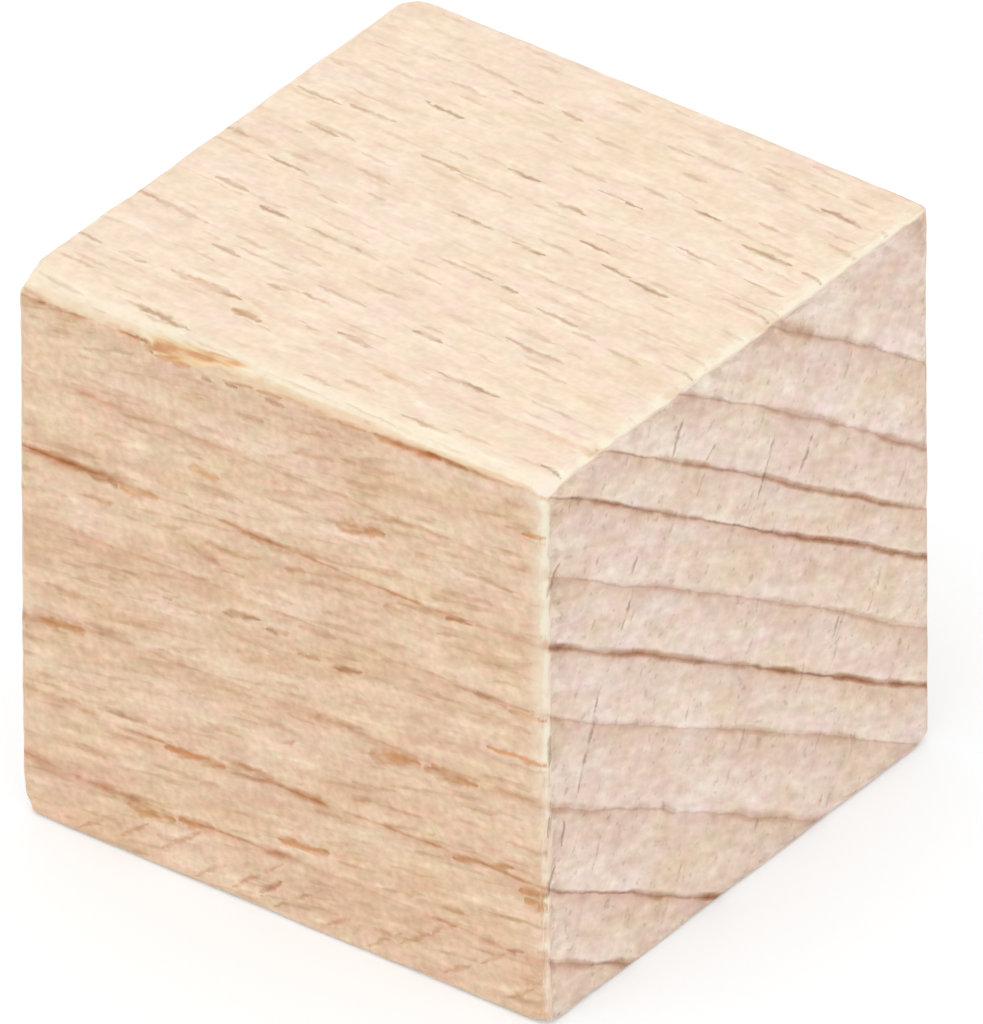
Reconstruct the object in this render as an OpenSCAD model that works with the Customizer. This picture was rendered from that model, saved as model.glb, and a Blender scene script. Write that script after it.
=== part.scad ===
// Wooden cube: a small block of solid beech, sawn on all six sides.
// The grain runs along X, so the two X faces show end grain. Each arris is
// eased by its own amount, five corners are blunted, and the top front arris
// has lost a splinter. Sizes are in millimetres. The origin is the middle of
// the base, with +Z up and -Y at the front.

/* [Block] */
// Length along the grain, end face to end face
grain_length = 20.4; // [10:0.1:50]
// Width across the grain, front face to back face
width = 20.2; // [10:0.1:50]
// Height, base to top
height = 20; // [10:0.1:50]

/* [Arrises along the grain] */
// Rounding radius of the top front arris, the most worn one
top_front_round = 0.55; // [0.1:0.05:1]
// Rounding radius of the top back arris
top_back_round = 0.25; // [0.1:0.05:1]
// Rounding radius of the bottom front arris
base_front_round = 0.2; // [0.1:0.05:1]
// Rounding radius of the bottom back arris
base_back_round = 0.2; // [0.1:0.05:1]

/* [Arrises across the ends] */
// Rounding radius of the top arris at the right-hand end
top_right_round = 0.22; // [0.1:0.02:1]
// Rounding radius of the top arris at the left-hand end
top_left_round = 0.25; // [0.1:0.05:1]
// Rounding radius of the bottom arris at the right-hand end
base_right_round = 0.18; // [0.1:0.02:1]
// Rounding radius of the bottom arris at the left-hand end
base_left_round = 0.2; // [0.1:0.05:1]

/* [Upright arrises] */
// Rounding radius of the front upright at the right-hand end
front_right_round = 0.18; // [0.1:0.02:1]
// Rounding radius of the front upright at the left-hand end
front_left_round = 0.2; // [0.1:0.05:1]
// Rounding radius of the back upright at the right-hand end
back_right_round = 0.15; // [0.1:0.05:1]
// Rounding radius of the back upright at the left-hand end
back_left_round = 0.2; // [0.1:0.05:1]

/* [Blunted corners] */
// Top front right corner: reach of the flat along X, Y and Z
top_front_right_blunt = [0.7, 1.9, 0.6]; // [0.5:0.1:2.5]
// Top front left corner: reach of the flat along X, Y and Z
top_front_left_blunt = [0.7, 1.4, 0.8]; // [0.5:0.1:2.5]
// Top back left corner: reach of the flat along X, Y and Z
top_back_left_blunt = [0.8, 0.8, 0.5]; // [0.5:0.1:2.5]
// Bottom front left corner: reach of the flat along X, Y and Z
base_front_left_blunt = [0.6, 0.8, 1.3]; // [0.5:0.1:2.5]
// Bottom back right corner: reach of the flat along X, Y and Z
base_back_right_blunt = [0.9, 1, 0.5]; // [0.5:0.1:2.5]

/* [Lost splinter] */
// Distance from the left-hand end to the middle of the scar
scar_from_left = 7.3; // [4:0.1:14]
// Length of the scar along the grain
scar_length = 4.6; // [2:0.1:6]
// How far the scar comes down the front face from the top
scar_drop = 0.95; // [0.7:0.05:1.5]
// How far the scar reaches back over the top from the front face
scar_reach = 0.6; // [0.5:0.05:1.5]
// Distance from the left-hand end to the middle of the pocket in the scar
pocket_from_left = 5.6; // [4:0.1:14]
// Length of the pocket, the deepest part of the scar
pocket_length = 1.6; // [0.8:0.1:1.8]
// Depth of the pocket below the floor of the scar
pocket_depth = 0.06; // [0.02:0.01:0.2]

/* [Hidden] */
$fn = 48;
// How far the cutting shapes run past the block
over = 1;
half_length = grain_length / 2;
half_width = width / 2;
half_height = height / 2;

// Waste outside one rounded arris. The sharp edge would lie on the Z axis,
// and the block fills the quarter where x and y are negative.
module arris_waste(radius, run) {
    translate([0, 0, -run / 2])
        linear_extrude(height = run)
            difference() {
                translate([-radius, -radius])
                    square(radius + over);
                translate([-radius, -radius])
                    circle(r = radius);
            }
}

// Arris along the grain, on the side of the block that the signs give
module grain_arris(y_side, z_side, radius) {
    translate([0, y_side * half_width, half_height + z_side * half_height])
        mirror([0, (1 - y_side) / 2, 0])
            mirror([0, 0, (1 - z_side) / 2])
                rotate([90, 0, 90])
                    arris_waste(radius, grain_length + 2 * over);
}

// Arris across the width of an end face
module cross_arris(x_side, z_side, radius) {
    translate([x_side * half_length, 0, half_height + z_side * half_height])
        mirror([(1 - x_side) / 2, 0, 0])
            mirror([0, 0, (1 - z_side) / 2])
                rotate([90, 0, 0])
                    arris_waste(radius, width + 2 * over);
}

// Upright arris
module upright_arris(x_side, y_side, radius) {
    translate([x_side * half_length, y_side * half_width, half_height])
        mirror([(1 - x_side) / 2, 0, 0])
            mirror([0, (1 - y_side) / 2, 0])
                arris_waste(radius, height + 2 * over);
}

// Waste beyond the flat of a blunted corner. The flat would meet the three
// sharp edges at the distances in reach.
module corner_waste(x_side, y_side, z_side, reach) {
    slope = [x_side / reach[0], y_side / reach[1], z_side / reach[2]];
    depth = 1 / norm(slope);
    span = 2 * max(reach);
    translate([x_side * half_length, y_side * half_width, half_height + z_side * half_height])
        rotate([0, acos(slope[2] * depth), atan2(slope[1], slope[0])])
            translate([-span, -span, -depth])
                cube([2 * span, 2 * span, span]);
}

// Waste torn out along the grain: a disc whose rim dips below the XY plane
// by depth, over a chord along X
module splinter(chord, depth, breadth) {
    sweep = (chord * chord / 4 + depth * depth) / (2 * depth);
    translate([0, 0, sweep - depth])
        rotate([90, 0, 0])
            cylinder(r = sweep, h = breadth, center = true, $fn = 120);
}

// The scar of the lost splinter. Its floor joins scar_drop on the front face
// to scar_reach on the top, and rises to the rounded arris at both ends.
module scar() {
    slant = norm([scar_reach, scar_drop]);
    arris_depth = top_front_round * ((scar_reach + scar_drop) / slant - 1);
    floor_depth = scar_reach * scar_drop / slant - arris_depth;
    breadth = slant + 2 * over;
    translate([-half_length, -half_width, height])
        rotate([atan2(scar_drop, scar_reach), 0, 0])
            translate([0, 0, -arris_depth]) {
                translate([scar_from_left, 0, 0])
                    splinter(scar_length, floor_depth, breadth);
                translate([pocket_from_left, 0, 0])
                    splinter(pocket_length, floor_depth + pocket_depth, breadth);
            }
}

module wooden_cube() {
    color([0.93, 0.82, 0.70])
        difference() {
            translate([-half_length, -half_width, 0])
                cube([grain_length, width, height]);

            grain_arris(-1, 1, top_front_round);
            grain_arris(1, 1, top_back_round);
            grain_arris(-1, -1, base_front_round);
            grain_arris(1, -1, base_back_round);

            cross_arris(1, 1, top_right_round);
            cross_arris(-1, 1, top_left_round);
            cross_arris(1, -1, base_right_round);
            cross_arris(-1, -1, base_left_round);

            upright_arris(1, -1, front_right_round);
            upright_arris(-1, -1, front_left_round);
            upright_arris(1, 1, back_right_round);
            upright_arris(-1, 1, back_left_round);

            corner_waste(1, -1, 1, top_front_right_blunt);
            corner_waste(-1, -1, 1, top_front_left_blunt);
            corner_waste(-1, 1, 1, top_back_left_blunt);
            corner_waste(-1, -1, -1, base_front_left_blunt);
            corner_waste(1, 1, -1, base_back_right_blunt);

            scar();
        }
}

wooden_cube();
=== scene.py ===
# %% [markdown]
# # A small beech cube
# The object is one block of bare beech, about 20 mm on a side, sawn and lightly sanded. The
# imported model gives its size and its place. It could be dressed with a material alone, but an
# edge that catches the light, a torn splinter and a growth ring that stands a little proud are
# shapes. So this lesson models the block again as one fine mesh, and then gives it a wood that
# is made from nodes.

import math

import bpy
import numpy as np
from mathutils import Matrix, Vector


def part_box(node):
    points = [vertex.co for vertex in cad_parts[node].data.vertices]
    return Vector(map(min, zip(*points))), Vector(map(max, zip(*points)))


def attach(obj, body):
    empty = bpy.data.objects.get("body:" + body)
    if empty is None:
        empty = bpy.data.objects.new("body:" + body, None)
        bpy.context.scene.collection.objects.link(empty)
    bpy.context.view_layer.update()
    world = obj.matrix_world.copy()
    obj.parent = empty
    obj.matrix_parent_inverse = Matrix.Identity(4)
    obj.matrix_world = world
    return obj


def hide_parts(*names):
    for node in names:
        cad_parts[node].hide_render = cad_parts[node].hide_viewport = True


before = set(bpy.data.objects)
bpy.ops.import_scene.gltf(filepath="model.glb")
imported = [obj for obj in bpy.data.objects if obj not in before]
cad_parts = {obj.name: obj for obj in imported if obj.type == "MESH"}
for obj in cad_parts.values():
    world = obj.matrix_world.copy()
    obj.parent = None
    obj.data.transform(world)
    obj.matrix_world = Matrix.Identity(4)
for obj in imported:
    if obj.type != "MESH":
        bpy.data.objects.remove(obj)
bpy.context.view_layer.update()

MM = 0.001  # one millimetre in Blender's metres
low = np.array(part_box("wooden_cube")[0]) / MM
high = np.array(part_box("wooden_cube")[1]) / MM
print("block from", low.round(2), "to", high.round(2), "mm")

# %% [markdown]
# # The camera
# A long lens far away keeps the upright edges nearly parallel, as a close wide lens would not.
# The camera looks down on the top from the front right. It stands on a circle round the middle
# of the block, and it aims a little to the right of the middle and below it, which frames the
# block without any lens shift.

# %% Camera
CAMERA_TURN = 37.0  # degrees round the block, from straight in front
CAMERA_RISE = 33.6  # degrees above the floor
CAMERA_DISTANCE = 1.308
LENS_MM = 1483.0
NEAREST_SEEN = 0.1
FURTHEST_SEEN = 20
AIM_RIGHT = 0.43 * MM
AIM_DOWN = 0.12 * MM


def direction(turn, rise):
    """A vector of length 1, turned from straight in front to the right and raised, in degrees."""
    turn = math.radians(turn)
    rise = math.radians(rise)
    level = math.cos(rise)
    return Vector((math.sin(turn) * level, -math.cos(turn) * level, math.sin(rise)))


def stand_facing(thing, target, towards_thing, distance):
    """Puts a camera or a lamp at a distance from its target and points it there."""
    thing.location = target + towards_thing * distance
    thing.rotation_mode = "QUATERNION"
    thing.rotation_quaternion = (-towards_thing).to_track_quat("-Z", "Y")
    bpy.context.collection.objects.link(thing)


block_middle = Vector((low + high) / 2 * MM)
towards_camera = direction(CAMERA_TURN, CAMERA_RISE)
camera_right = direction(CAMERA_TURN + 90, 0)
camera_up = towards_camera.cross(camera_right)
aim = block_middle + camera_right * AIM_RIGHT - camera_up * AIM_DOWN

camera = bpy.data.objects.new("camera", bpy.data.cameras.new("camera"))
camera.data.lens = LENS_MM
camera.data.clip_start = NEAREST_SEEN
camera.data.clip_end = FURTHEST_SEEN
stand_facing(camera, aim, towards_camera, CAMERA_DISTANCE)
bpy.context.scene.camera = camera
print("camera at", [round(v, 3) for v in camera.location])

# %% [markdown]
# # Helpers for the mesh
# Two small helpers are used all through the mesh. `smooth_step` fades from 0 to 1 between two
# values. `ripple` is an even, seeded unevenness: a sum of waves in random directions, which can
# be long in one direction and short in another, as wood fibre is. Noise textures do the same in
# a material, but here the numbers have to move vertices.

# %% Fade and ripple
WAVES = 9


def smooth_step(values, start, end):
    """0 before start, 1 after end, and smooth between them."""
    part = np.clip((values - start) / (end - start), 0, 1)
    return part * part * (3 - 2 * part)


def ripple(places, lengths, seed):
    """Unevenness of about -1 to 1 at each place, whose waves have the given length on each axis."""
    random = np.random.default_rng(seed)
    total = np.zeros(len(places))
    for _ in range(WAVES):
        way = random.normal(size=3)
        way /= np.linalg.norm(way)
        turns = way / np.array(lengths) * random.uniform(0.6, 1.5)
        total += np.sin(2 * np.pi * (places @ turns + random.random()))
    return total / math.sqrt(WAVES)


print("ripple of three places", ripple(np.eye(3), (1, 1, 1), 1).round(2))

# %% [markdown]
# # The lattice
# The mesh starts as six grids of quads that share their border vertices, so it is one closed
# skin. A cube with a subdivision modifier would spread its faces evenly, but here the faces are
# needed near the arrises and, on the front arris, round the torn splinter. So the grid lines are
# placed by given gaps: close together at the edges and wider in the middle. Along the
# grain nothing changes fast, and fewer lines are enough.

# %% Sides and grid lines
SIDES = {  # the axis it faces along, which way, the axis that runs across it, the axis up it
    "top": (2, 1, 0, 1),
    "base": (2, -1, 0, 1),
    "front": (1, -1, 0, 2),
    "back": (1, 1, 0, 2),
    "right_end": (0, 1, 1, 2),
    "left_end": (0, -1, 1, 2),
}
OUTWARD = {name: way * np.eye(3)[axis] for name, (axis, way, _, _) in SIDES.items()}
PLANE = {name: (high if way > 0 else low)[axis] for name, (axis, way, _, _) in SIDES.items()}
GAPS_ALONG = 92
GAPS_ACROSS = 145
GAP_SAMPLES = 4001
SCAR_START = 5.0  # the torn splinter, from the left end, along the top front arris
SCAR_END = 9.7


def graded_lines(axis, gaps, gap_size):
    """Grid lines along an axis whose gaps follow gap_size, a function of the place."""
    places = np.linspace(low[axis], high[axis], GAP_SAMPLES)
    crowding = 1 / gap_size(places)
    counted = np.concatenate([[0], np.cumsum((crowding[1:] + crowding[:-1]) / 2)])
    return np.interp(np.linspace(0, counted[-1], gaps + 1), counted, places)


def gap_near_edges(places, axis, fine, reach):
    """Small gaps, of the share fine, within reach of both ends of an axis."""
    inside = np.minimum(places - low[axis], high[axis] - places)
    return fine + (1 - fine) * smooth_step(inside, reach, 2 * reach)


def gap_along(places):
    """Small gaps near both ends, and smaller ones in the scar than beside it."""
    from_left = places - low[0]
    in_scar = smooth_step(from_left, SCAR_START - 1, SCAR_START - 0.5)
    in_scar *= 1 - smooth_step(from_left, SCAR_END, SCAR_END + 0.5)
    return gap_near_edges(places, 0, 0.25, 0.35) * (1 - 0.4 * in_scar)


grid_lines = [
    graded_lines(0, GAPS_ALONG, gap_along),
    graded_lines(1, GAPS_ACROSS, lambda places: gap_near_edges(places, 1, 0.4, 0.8)),
    graded_lines(2, GAPS_ACROSS, lambda places: gap_near_edges(places, 2, 0.4, 0.9)),
]
for line in grid_lines:
    print("gaps from", np.diff(line).min().round(3), "to", np.diff(line).max().round(3), "mm")

# %% Six grids that share their borders
def block_lattice(lines):
    """Points, quads and each quad's side number. A vertex is known by its address in the lattice."""
    counts = [len(line) for line in lines]
    quads, sides = [], []
    for number, (name, (axis, way, across, up)) in enumerate(SIDES.items()):
        address = [0, 0, 0]
        address[across], address[up] = np.indices((counts[across], counts[up]))
        address[axis] = np.full_like(address[up], counts[axis] - 1 if way > 0 else 0)
        corner = np.ravel_multi_index(address, counts)
        quad = np.stack([corner[:-1, :-1], corner[1:, :-1], corner[1:, 1:], corner[:-1, 1:]], -1)
        quad = quad.reshape(-1, 4)
        if np.cross(np.eye(3)[across], np.eye(3)[up]) @ OUTWARD[name] < 0:
            quad = quad[:, ::-1]
        quads.append(quad)
        sides.append(np.full(len(quad), number))
    used, quads = np.unique(np.concatenate(quads), return_inverse=True)
    steps = np.unravel_index(used, counts)
    points = np.stack([line[step] for line, step in zip(lines, steps)], 1)
    return points, quads.reshape(-1, 4), np.concatenate(sides)


def on_side(name):
    """Which vertices of the flat block lie on a side."""
    return flat_points[:, SIDES[name][0]] == PLANE[name]


flat_points, quads, quad_side = block_lattice(grid_lines)
from_left = flat_points[:, 0] - low[0]
behind_front = flat_points[:, 1] - low[1]
print(len(flat_points), "vertices,", 2 * len(quads), "triangles")

# %% [markdown]
# # Growth rings
# A tree's rings are cylinders round its heart. In so small a block they are nearly flat sheets:
# they run level along the front and fall by about 30 degrees across the ends, the upper ones a
# little more steeply, with a slight bend. So each ring line is given by the height at which it
# meets the front and the height at which it leaves at the back. Both are set one by one, because
# no two summers are alike, and each line has its own strength. The rings wander a little, so
# their height gets some ripple, which the relief and the material share.

# %% Ring number at each vertex
RINGS = [  # height at the front, height at the back, strength of the line
    (-3.4, -14.6, 0.5), (-0.7, -11.8, 0.5), (2.35, -8.85, 0.8), (4.95, -6.1, 1.0),
    (8.05, -2.8, 0.45), (11.45, 0.2, 0.35), (13.9, 2.5, 1.0), (16.65, 4.75, 0.4),
    (19.45, 7.4, 1.0), (21.45, 9.15, 0.75), (24.25, 11.5, 0.55), (27.35, 14.6, 0.6),
    (33.5, 20.8, 0.3),
]
RING_BEND = -0.0018  # extra height for each square mm of the way back
RING_TILT = 0.016  # rise of every line for each mm to the right
BROAD_WANDER = 0.07
FINE_WANDER = 0.025


def line_height(ring):
    """The height of a ring line above or below each vertex."""
    at_front, at_back, _ = ring
    fall = (at_back - at_front) * behind_front / (high[1] - low[1])
    return at_front + fall + RING_BEND * behind_front**2


wander = BROAD_WANDER * ripple(flat_points, (14, 6, 6), 11)
wander += FINE_WANDER * ripple(flat_points, (5, 1.3, 1.3), 12)
level_height = flat_points[:, 2] - RING_TILT * flat_points[:, 0] + wander
ring_number = np.zeros(len(flat_points))
for below_it, above_it in zip(RINGS, RINGS[1:]):
    start = line_height(below_it)
    ring_number += ((level_height - start) / (line_height(above_it) - start)).clip(0, 1)
ring_part = ring_number - np.floor(ring_number)  # 0 just above a line, 1 just under the next
line_strength = np.array([ring[2] for ring in RINGS])[np.round(ring_number).astype(int)]
print("ring number from", ring_number.min().round(2), "to", ring_number.max().round(2))

# %% [markdown]
# # Relief of the grain
# On a sawn end the soft early wood sinks a few hundredths of a millimetre behind the hard late
# wood, and the line between two years is a fine groove. The long sides show the same, but
# fainter, with long low ripples left by the sander. A displacement modifier could do this from a
# texture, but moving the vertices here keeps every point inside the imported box, because the
# relief only ever goes inward.

# %% Sink the soft wood
END_SOFT_WOOD = 0.022
SIDE_SOFT_WOOD = 0.008
END_GROOVE = 0.030
SIDE_GROOVE = 0.012
GROOVE_WIDTH = 0.05  # as a part of a ring
SANDER_RIPPLE = 0.005


def grain_relief(soft_wood, groove, lengths, seed):
    """How far each vertex lies behind its side's flat face, in mm."""
    from_line = np.minimum(ring_part, 1 - ring_part)
    depth = soft_wood * (1 - ring_part) ** 2 * smooth_step(ring_part, 0, 0.08)
    depth += groove * line_strength * np.exp(-((from_line / GROOVE_WIDTH) ** 2))
    depth += SANDER_RIPPLE * (1.2 + ripple(flat_points, lengths, seed)).clip(0)
    return depth


points = flat_points.copy()
end_depth = grain_relief(END_SOFT_WOOD, END_GROOVE, (1, 0.7, 0.7), 21)
side_depth = grain_relief(SIDE_SOFT_WOOD, SIDE_GROOVE, (7, 0.9, 0.9), 22)
for name in SIDES:
    here = on_side(name)
    depth = end_depth if name.endswith("_end") else side_depth
    points[here] -= OUTWARD[name] * depth[here, None]
print("deepest relief", round(float(np.abs(points - flat_points).max()), 3), "mm")

# %% [markdown]
# # Out of square
# A saw that is fed by hand leaves a block a tenth or two out of square. Seen from above, three
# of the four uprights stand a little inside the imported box. Each vertex takes its share of the
# three shifts by how near it is to each upright. The right end and the back also lean inwards
# towards the top, so the base is the widest part and the block stays inside its box.

# %% Pull three uprights in
UPRIGHT_SHIFTS = [  # which upright: 1 for right, 1 for back, and its shift in X and Y
    ((1, 0), (0.0, 0.20)),
    ((1, 1), (-0.10, 0.0)),
    ((0, 1), (0.10, 0.0)),
]
TOP_LEAN = 0.12  # how far the right end and the back lean in at the top


def out_of_square(flat):
    """How far places in the true box have to shift, given as places in that box."""
    right, back, up = ((flat - low) / (high - low)).T
    shift = np.zeros_like(flat)
    for (on_right, on_back), (x, y) in UPRIGHT_SHIFTS:
        share = (right if on_right else 1 - right) * (back if on_back else 1 - back)
        shift[:, 0] += share * x
        shift[:, 1] += share * y
    shift[:, 0] -= TOP_LEAN * right * up
    shift[:, 1] -= TOP_LEAN * back * up
    return shift


points += out_of_square(flat_points)
width = np.ptp(points[on_side("right_end")][:, 1])
print("width at the right end", width.round(2), "mm")

# %% [markdown]
# # Worn arrises
# Where two faces meet, handling and sandpaper have taken the sharp line off. Each arris is
# planed: whatever stands beyond a slanting plane is pushed back onto it. The plane's bite into
# each face wanders along the edge, so no edge is ruler straight. The Bevel modifier gives every
# edge one width, and here the widths differ: the top front arris was planed with a blunt tool,
# in two passes, and its lower border runs up and down as listed from the left end. Each arris is
# also painted pale for the material, partly as wear and partly as a painted highlight, and that
# paleness grows with its height.

# %% Soft planing
def plane_off(normal, cut, softness):
    """Pushes the points that stand beyond a plane back onto it, with a soft border, and says how far."""
    global points
    beyond = (points * normal).sum(1) - cut
    depth = 0.5 * (beyond + np.sqrt(beyond**2 + softness**2))
    points = points - normal * depth[:, None]
    return depth


def plane_arris(first, second, first_bite, second_bite, softness):
    """Planes one arris and returns how worn each vertex is, from 0 at its borders to 1 in its middle."""
    towards = OUTWARD[first] + OUTWARD[second]
    edge = np.where(towards > 0, high, np.where(towards < 0, low, flat_points))
    edge = edge + out_of_square(edge)
    size = np.hypot(first_bite, second_bite)
    normal = OUTWARD[first] * first_bite[:, None] + OUTWARD[second] * second_bite[:, None]
    normal = normal / size[:, None]
    full_depth = first_bite * second_bite / size
    depth = plane_off(normal, (normal * edge).sum(1) - full_depth, softness)
    return (depth / full_depth).clip(0, 1)


print(len(points), "points to plane")

# %% The top front arris
FRONT_DROPS = [  # from the left end, how far the top front arris reaches down the front
    (0.0, 0.30), (1.0, 0.58), (2.0, 0.70), (3.0, 0.66), (3.8, 0.40), (4.5, 0.34), (4.9, 0.72),
    (5.5, 1.02), (6.7, 0.80), (7.4, 0.90), (8.1, 0.81), (9.5, 0.64), (10.8, 0.60), (11.7, 0.68),
    (13.5, 0.54), (16.5, 0.44), (18.6, 0.43), (20.0, 0.24), (20.4, 0.20),
]
LEAST_DROP = 0.15
DROP_RIPPLE = 0.03
TOP_BITE = 0.43
TOP_LONG_RIPPLE = 0.05
TOP_SHORT_RIPPLE = 0.02
FLAT_PASS = (1.9, 0.35, 0.10)  # the first pass: shares of the two bites, softness
LAST_PASS_SOFTNESS = 0.03


def listed_drop(places):
    """How far the arris reaches down the front, at places given from the left end."""
    return np.interp(places, *np.array(FRONT_DROPS).T)


front_drop = listed_drop(from_left) + DROP_RIPPLE * ripple(flat_points, (0.9, 9, 9), 31)
front_drop = front_drop.clip(LEAST_DROP)
top_bite = TOP_BITE + TOP_LONG_RIPPLE * ripple(flat_points, (5, 50, 50), 32)
top_bite += TOP_SHORT_RIPPLE * ripple(flat_points, (1, 50, 50), 33)
top_share, drop_share, flat_softness = FLAT_PASS
plane_arris("top", "front", top_bite * top_share, front_drop * drop_share, flat_softness)
front_band = plane_arris("top", "front", top_bite, front_drop, LAST_PASS_SOFTNESS)

# A scale across the band: 0 at its lower border, 0.5 at the old sharp edge, 1 at its upper border.
below_band = high[2] - front_drop - flat_points[:, 2]
up_the_front = -0.5 * below_band / front_drop
across_the_top = 0.5 + 0.5 * behind_front / top_bite
band_rise = np.where(on_side("front"), up_the_front, -1.0)
band_rise = np.where(on_side("top"), across_the_top, band_rise)
print("front band reaches down", front_drop.min().round(2), "to", front_drop.max().round(2), "mm")

# %% The other arrises
ARRISES = [  # two sides, the bite into each, and how pale it looks: partly wear, partly a painted highlight
    ("top", "back", 0.14, 0.12, 0.3),
    ("base", "front", 0.16, 0.14, 0.5),
    ("base", "back", 0.15, 0.15, 0.5),
    ("top", "right_end", 0.36, 0.20, 0.9),
    ("top", "left_end", 0.16, 0.12, 0.4),
    ("base", "right_end", 0.14, 0.14, 0.5),
    ("base", "left_end", 0.16, 0.15, 0.5),
    ("front", "right_end", 0.24, 0.18, 1.0),
    ("front", "left_end", 0.16, 0.15, 0.4),
    ("back", "right_end", 0.13, 0.13, 0.4),
    ("back", "left_end", 0.16, 0.15, 0.5),
]
ARRIS_SOFTNESS = 0.07
ARRIS_WAVES = [(0.16, 4, 40), (0.10, 1, 60)]  # height as a share of the bite, length, first seed
LEAST_BITE = 0.4  # as a share of the listed one
PALENESS_LOW = 0.40
PALENESS_HIGHER = [(3, 6, 0.15), (10, 14, 0.45)]  # between two heights, how much is added

# How pale each arris is painted, partly wear and partly a painted highlight, grows with height.
paler_higher_up = np.full(len(points), PALENESS_LOW)
for start, end, more in PALENESS_HIGHER:
    paler_higher_up += more * smooth_step(flat_points[:, 2], start, end)
worn = front_band
for number, (first, second, first_bite, second_bite, pale_share) in enumerate(ARRISES):
    wave = np.ones(len(points))
    for wave_height, length, seed in ARRIS_WAVES:
        wave += wave_height * ripple(flat_points, (length, length, length), seed + number)
    wave = wave.clip(LEAST_BITE)
    depth = plane_arris(first, second, first_bite * wave, second_bite * wave, ARRIS_SOFTNESS)
    worn = np.maximum(worn, depth * pale_share * paler_higher_up)
print("vertices on worn arrises:", int((worn > 0.1).sum()))

# %% [markdown]
# # Blunt corners
# Six of the eight corners have been knocked. The blow crushes the end grain into a small flat,
# so each corner is planed once more, by the plane that crosses its three edges at the lengths
# given. No two blows are alike: the flat at the top front right reaches far across the end and
# little down it.

# %% Knocked corners
BLUNT_CORNERS = [  # which corner, and how far the flat reaches along X, Y and Z
    ((1, -1, 1), (1.00, 2.4, 0.58)),
    ((-1, -1, 1), (0.65, 1.3, 0.75)),
    ((-1, 1, 1), (0.75, 0.75, 0.45)),
    ((-1, -1, -1), (0.55, 0.75, 1.2)),
    ((1, 1, -1), (0.8, 0.9, 0.45)),
    ((1, -1, -1), (1.1, 0.7, 0.30)),
]
CORNER_SOFTNESS = 0.07
CORNER_UNEVENNESS = 0.02

uneven = CORNER_UNEVENNESS * ripple(flat_points, (0.8, 0.8, 0.8), 71)
knocked = np.zeros(len(points))
for which, reaches in BLUNT_CORNERS:
    corner = np.where(np.array(which) > 0, high, low)
    corner = corner + out_of_square(corner[None])[0]
    normal = np.array(which) / np.array(reaches)
    full_depth = 1 / np.linalg.norm(normal)
    normal = normal * full_depth
    depth = plane_off(normal, normal @ corner - full_depth + uneven, CORNER_SOFTNESS)
    knocked = np.maximum(knocked, (depth / full_depth).clip(0, 1))
print("vertices on knocked corners:", int((knocked > 0.1).sum()))

# %% [markdown]
# # The torn splinter
# About a quarter of the way along the top front arris a splinter has lifted and broken away. It
# leaves long narrow steps that run with the grain and fade out towards the right. The tear
# starts at the lower border of the band and climbs across it to the top. The steps are a ripple
# that is long in X and short across it, partly rounded to a few levels, and pressed into the
# band that the plane has left. The fresh wood in it is amber.

# %% Splinter ledges
TEAR_DEPTH = 0.12
LEDGES = 3
TEAR_FOOT = -0.04  # where it starts, on the scale across the band
TEAR_CLIMB = 0.21  # how far up that scale it climbs in each mm
TEAR_HALF = 0.31  # half of its height on that scale, where it starts
TEAR_NARROWING = 0.02  # what that loses in each mm

in_tear = smooth_step(from_left, SCAR_START - 0.1, SCAR_START + 0.3)
in_tear *= 1 - smooth_step(from_left, SCAR_END - 1.7, SCAR_END - 0.5)
tear_middle = TEAR_FOOT + TEAR_CLIMB * (from_left - SCAR_START)
tear_half = TEAR_HALF - TEAR_NARROWING * (from_left - SCAR_START)
tear_half *= 1 + 0.25 * ripple(flat_points, (1.2, 0.5, 0.5), 82)
across_tear = (band_rise - tear_middle) / tear_half.clip(0.1)
torn = in_tear * smooth_step(front_band, 0.0, 0.12) * np.exp(-(across_tear**4))
torn_fibres = 0.5 + 0.5 * ripple(flat_points, (6.0, 0.35, 0.35), 81)
ledge = np.round(torn_fibres * LEDGES) / LEDGES
tear_depth = torn * TEAR_DEPTH * (0.3 + 0.2 * ledge + 0.6 * torn_fibres).clip(0)
points -= (OUTWARD["top"] + OUTWARD["front"]) / math.sqrt(2) * tear_depth[:, None]
print("deepest tear", tear_depth.max().round(2), "mm")

# %% [markdown]
# # Ray flecks
# Beech is known by its rays: thin plates of cells that run from the heart to the bark. Cut
# across on the top they show as short dark dashes that follow the grain, on the front as
# reddish strokes, and on the ends as fine dark lines square to the rings. They are only a tenth
# of a millimetre thick, thinner than the mesh's faces, so they aren't modelled. Instead each
# stroke is an entry in a list, every face learns which stroke is nearest, and the material
# draws that stroke exactly. A noise texture would be less work, but it gives no control over
# length, spacing and slant.

# %% A list of strokes
TONES = {  # half thickness in mm, strength (below 0 is paler than the wood), warmth from grey to rust
    "dark": (0.080, 0.90, 0.20),
    "plain": (0.080, 0.68, 0.30),
    "faint": (0.080, 0.44, 0.35),
    "fibre": (0.060, 0.34, 0.45),
    "brown": (0.140, 0.95, 0.50),
    "tan": (0.150, 0.32, 0.85),
    "rust": (0.170, 1.00, 0.60),
    "thin rust": (0.095, 0.95, 0.75),
    "amber": (0.130, 0.70, 0.85),
    "scratch": (0.075, 0.60, 0.45),
    "ray": (0.070, 0.80, 0.10),
    "faint ray": (0.065, 0.42, 0.15),
    "pale": (0.060, -0.60, 0.50),
}
FRONT_BROADER = 1.2  # strokes on the front are this much broader
STROKE_SEED = 5

strokes = []  # side, middle, half of its length as a vector, half thickness, strength, warmth
random = np.random.default_rng(STROKE_SEED)


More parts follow.
